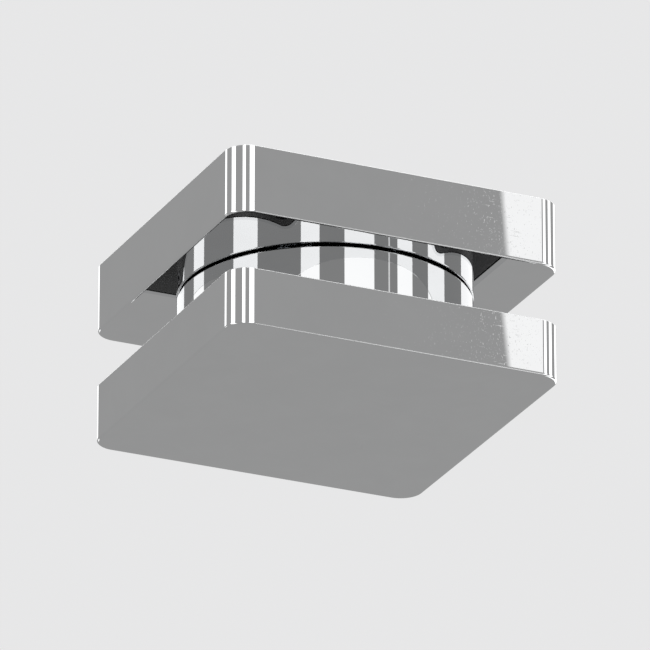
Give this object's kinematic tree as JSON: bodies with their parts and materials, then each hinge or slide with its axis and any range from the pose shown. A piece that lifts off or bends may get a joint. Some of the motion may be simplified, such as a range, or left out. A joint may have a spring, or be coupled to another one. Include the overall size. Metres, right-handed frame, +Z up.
{
  "type": "furniture leveling foot",
  "caption": "Square corner leveling foot for a cabinet: a flush chromed socket, a smooth round adjusting ring on a threaded stud, and a matching chromed base that swivels.",
  "frame": {"origin": "on the floor plane under the centre of the foot, with the foot fully screwed in", "axes": "+Z up along the stud, from the base to the cabinet; +X and +Y along the sides of the square blocks"},
  "size_m": [0.06, 0.06, 0.032],
  "materials": {
    "chrome_block": "mirror-polished chrome plate on zinc die casting",
    "polished_ring": "mirror-polished stainless steel, a little darker than the plated blocks",
    "zinc_plate": "satin zinc-plated steel sheet",
    "zinc_screw": "bright zinc-plated steel",
    "stud_steel": "machined steel, rolled thread",
    "bush_steel": "machined steel",
    "spring_steel": "dark phosphated spring steel",
    "bronze": "oil-filled sintered bronze",
    "black_cover": "fine-grained black moulded plastic",
    "black_screw": "black oxide steel"
  },
  "bodies": {
    "socket": {"corner_socket": "chrome_block", "threaded_bush": "bush_steel", "mounting_plate": "zinc_plate", "plate_screw_1": "zinc_screw", "plate_screw_2": "zinc_screw", "plate_screw_3": "zinc_screw", "plate_screw_4": "zinc_screw"},
    "washer": {"thrust_washer": "bronze"},
    "adjuster": {"adjusting_ring": "polished_ring", "threaded_stud": "stud_steel", "ring_circlip": "spring_steel", "journal_circlip": "spring_steel"},
    "base": {"base_shell": "chrome_block", "bearing_plate": "zinc_plate", "bearing_bush": "bronze", "backing_washer": "stud_steel", "base_cover": "black_cover", "cover_screw_1": "black_screw", "cover_screw_2": "black_screw", "cover_screw_3": "black_screw", "cover_screw_4": "black_screw"}
  },
  "joints": [
    {"name": "foot_lift", "type": "slide", "parent": "socket", "child": "washer", "axis": [0, 0, -1], "range_m": [0, 0.006]},
    {"name": "adjuster_spin", "type": "hinge", "parent": "washer", "child": "adjuster", "pos_m": [0, 0, 0.015], "axis": [0, 0, -1], "range_deg": [0, 1440]},
    {"name": "base_swivel", "type": "hinge", "parent": "washer", "child": "base", "pos_m": [0, 0, 0.005], "axis": [0, 0, 1], "continuous": true}
  ],
  "couplings": [
    {"joint": "adjuster_spin", "follows": "foot_lift", "rad_per_m": 4188.8}
  ]
}
